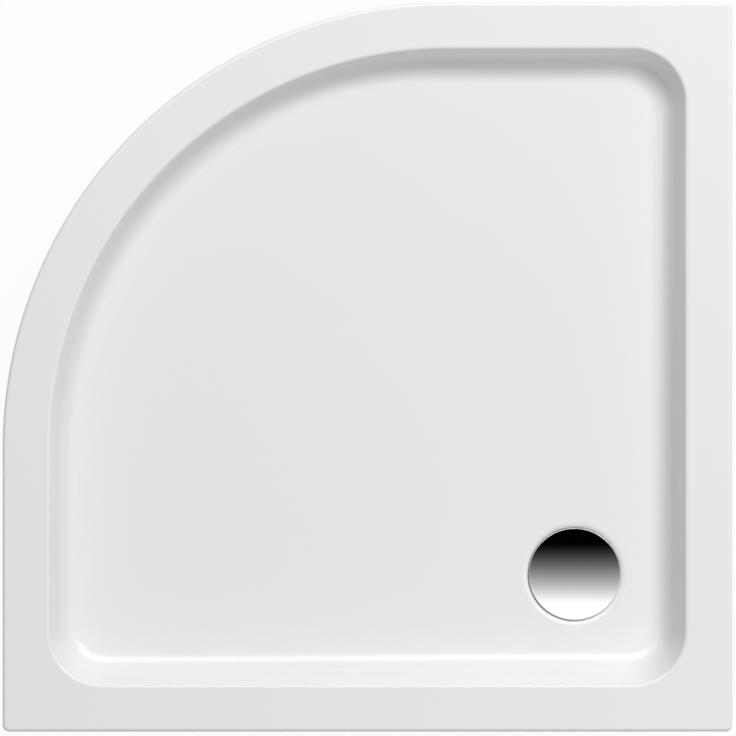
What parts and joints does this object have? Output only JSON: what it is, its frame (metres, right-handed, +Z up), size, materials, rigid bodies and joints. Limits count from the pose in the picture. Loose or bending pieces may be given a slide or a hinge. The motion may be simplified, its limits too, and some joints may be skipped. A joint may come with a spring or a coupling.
{
  "type": "quadrant shower tray",
  "caption": "Quadrant shower tray with a rounded front, flat rim and shallow pan falling to a chrome-covered drain with a lift-out trap and swivel outlet, on screw feet under a board.",
  "frame": {"origin": "on the room floor under the middle of the tray's square, with the feet wound fully in", "axes": "+Z up; the rounded front faces -X +Y, and the room's two walls stand at +X and -Y"},
  "size_m": [0.9, 0.9, 0.17],
  "materials": {
    "acrylic": "gloss white sanitary acrylic",
    "laminate": "sprayed glass-fibre resin",
    "board": "raw chipboard",
    "socket_plastic": "moulded black polypropylene",
    "zinc_steel": "bright zinc plate",
    "pad_plastic": "moulded black polypropylene",
    "sole_rubber": "matt rubber",
    "chrome": "mirror chrome plate",
    "stainless": "pressed stainless steel",
    "seal_rubber": "soft rubber",
    "trap_plastic": "moulded white polypropylene",
    "insert_plastic": "moulded grey polypropylene",
    "union_plastic": "moulded dark polypropylene"
  },
  "bodies": {
    "tray": {"tray_shell": "acrylic", "backing_laminate": "laminate", "base_board": "board", "leg_nuts": "zinc_steel", "leg_lock_nuts": "zinc_steel", "leg_screws": "zinc_steel", "waste_flange": "stainless", "flange_seal": "seal_rubber", "body_seal": "seal_rubber", "trap_body": "trap_plastic", "outlet_seal": "seal_rubber", "outlet_union": "union_plastic", "leg_socket_1": "socket_plastic", "leg_socket_2": "socket_plastic", "leg_socket_3": "socket_plastic", "leg_socket_4": "socket_plastic", "leg_socket_5": "socket_plastic", "leg_socket_6": "socket_plastic", "leg_socket_7": "socket_plastic"},
    "foot_1": {"foot_pad_1": "pad_plastic", "foot_sole_1": "sole_rubber"},
    "stud_1": {"leg_stud_1": "zinc_steel"},
    "foot_2": {"foot_pad_2": "pad_plastic", "foot_sole_2": "sole_rubber"},
    "stud_2": {"leg_stud_2": "zinc_steel"},
    "foot_3": {"foot_pad_3": "pad_plastic", "foot_sole_3": "sole_rubber"},
    "stud_3": {"leg_stud_3": "zinc_steel"},
    "foot_4": {"foot_pad_4": "pad_plastic", "foot_sole_4": "sole_rubber"},
    "stud_4": {"leg_stud_4": "zinc_steel"},
    "foot_5": {"foot_pad_5": "pad_plastic", "foot_sole_5": "sole_rubber"},
    "stud_5": {"leg_stud_5": "zinc_steel"},
    "foot_6": {"foot_pad_6": "pad_plastic", "foot_sole_6": "sole_rubber"},
    "stud_6": {"leg_stud_6": "zinc_steel"},
    "foot_7": {"foot_pad_7": "pad_plastic", "foot_sole_7": "sole_rubber"},
    "stud_7": {"leg_stud_7": "zinc_steel"},
    "insert": {"trap_insert": "insert_plastic", "insert_seal": "seal_rubber"},
    "strainer": {"drain_strainer": "insert_plastic"},
    "cover": {"drain_cover": "chrome"},
    "outlet": {"outlet_spigot": "trap_plastic"}
  },
  "joints": [
    {"name": "foot_1_height", "type": "slide", "parent": "tray", "child": "foot_1", "axis": [0, 0, -1], "range_m": [0, 0.032]},
    {"name": "stud_1_turn", "type": "hinge", "parent": "foot_1", "child": "stud_1", "pos_m": [0, 0, 0.0135], "axis": [0, 0, -1], "range_deg": [0, 6600]},
    {"name": "foot_2_height", "type": "slide", "parent": "tray", "child": "foot_2", "axis": [0, 0, -1], "range_m": [0, 0.032]},
    {"name": "stud_2_turn", "type": "hinge", "parent": "foot_2", "child": "stud_2", "pos_m": [-0.29918, -0.29918, 0.0135], "axis": [0, 0, -1], "range_deg": [0, 6600]},
    {"name": "foot_3_height", "type": "slide", "parent": "tray", "child": "foot_3", "axis": [0, 0, -1], "range_m": [0, 0.032]},
    {"name": "stud_3_turn", "type": "hinge", "parent": "foot_3", "child": "stud_3", "pos_m": [0.29918, 0.29918, 0.0135], "axis": [0, 0, -1], "range_deg": [0, 6600]},
    {"name": "foot_4_height", "type": "slide", "parent": "tray", "child": "foot_4", "axis": [0, 0, -1], "range_m": [0, 0.032]},
    {"name": "stud_4_turn", "type": "hinge", "parent": "foot_4", "child": "stud_4", "pos_m": [0.11, -0.29918, 0.0135], "axis": [0, 0, -1], "range_deg": [0, 6600]},
    {"name": "foot_5_height", "type": "slide", "parent": "tray", "child": "foot_5", "axis": [0, 0, -1], "range_m": [0, 0.032]},
    {"name": "stud_5_turn", "type": "hinge", "parent": "foot_5", "child": "stud_5", "pos_m": [0.29918, -0.11, 0.0135], "axis": [0, 0, -1], "range_deg": [0, 6600]},
    {"name": "foot_6_height", "type": "slide", "parent": "tray", "child": "foot_6", "axis": [0, 0, -1], "range_m": [0, 0.032]},
    {"name": "stud_6_turn", "type": "hinge", "parent": "foot_6", "child": "stud_6", "pos_m": [-0.02335, 0.27964, 0.0135], "axis": [0, 0, -1], "range_deg": [0, 6600]},
    {"name": "foot_7_height", "type": "slide", "parent": "tray", "child": "foot_7", "axis": [0, 0, -1], "range_m": [0, 0.032]},
    {"name": "stud_7_turn", "type": "hinge", "parent": "foot_7", "child": "stud_7", "pos_m": [-0.27964, 0.02335, 0.0135], "axis": [0, 0, -1], "range_deg": [0, 6600]},
    {"name": "insert_lift", "type": "slide", "parent": "tray", "child": "insert", "axis": [0, 0, 1], "range_m": [0, 0.12]},
    {"name": "strainer_lift", "type": "slide", "parent": "insert", "child": "strainer", "axis": [0, 0, 1], "range_m": [0, 0.06]},
    {"name": "cover_lift", "type": "slide", "parent": "strainer", "child": "cover", "axis": [0, 0, 1], "range_m": [0, 0.1]},
    {"name": "outlet_swivel", "type": "hinge", "parent": "tray", "child": "outlet", "pos_m": [0.34, -0.26, 0.06], "axis": [0, 0, 1], "range_deg": [-15, 15]}
  ],
  "couplings": [
    {"joint": "stud_1_turn", "follows": "foot_1_height", "rad_per_m": 3590.4},
    {"joint": "stud_2_turn", "follows": "foot_2_height", "rad_per_m": 3590.4},
    {"joint": "stud_3_turn", "follows": "foot_3_height", "rad_per_m": 3590.4},
    {"joint": "stud_4_turn", "follows": "foot_4_height", "rad_per_m": 3590.4},
    {"joint": "stud_5_turn", "follows": "foot_5_height", "rad_per_m": 3590.4},
    {"joint": "stud_6_turn", "follows": "foot_6_height", "rad_per_m": 3590.4},
    {"joint": "stud_7_turn", "follows": "foot_7_height", "rad_per_m": 3590.4}
  ]
}
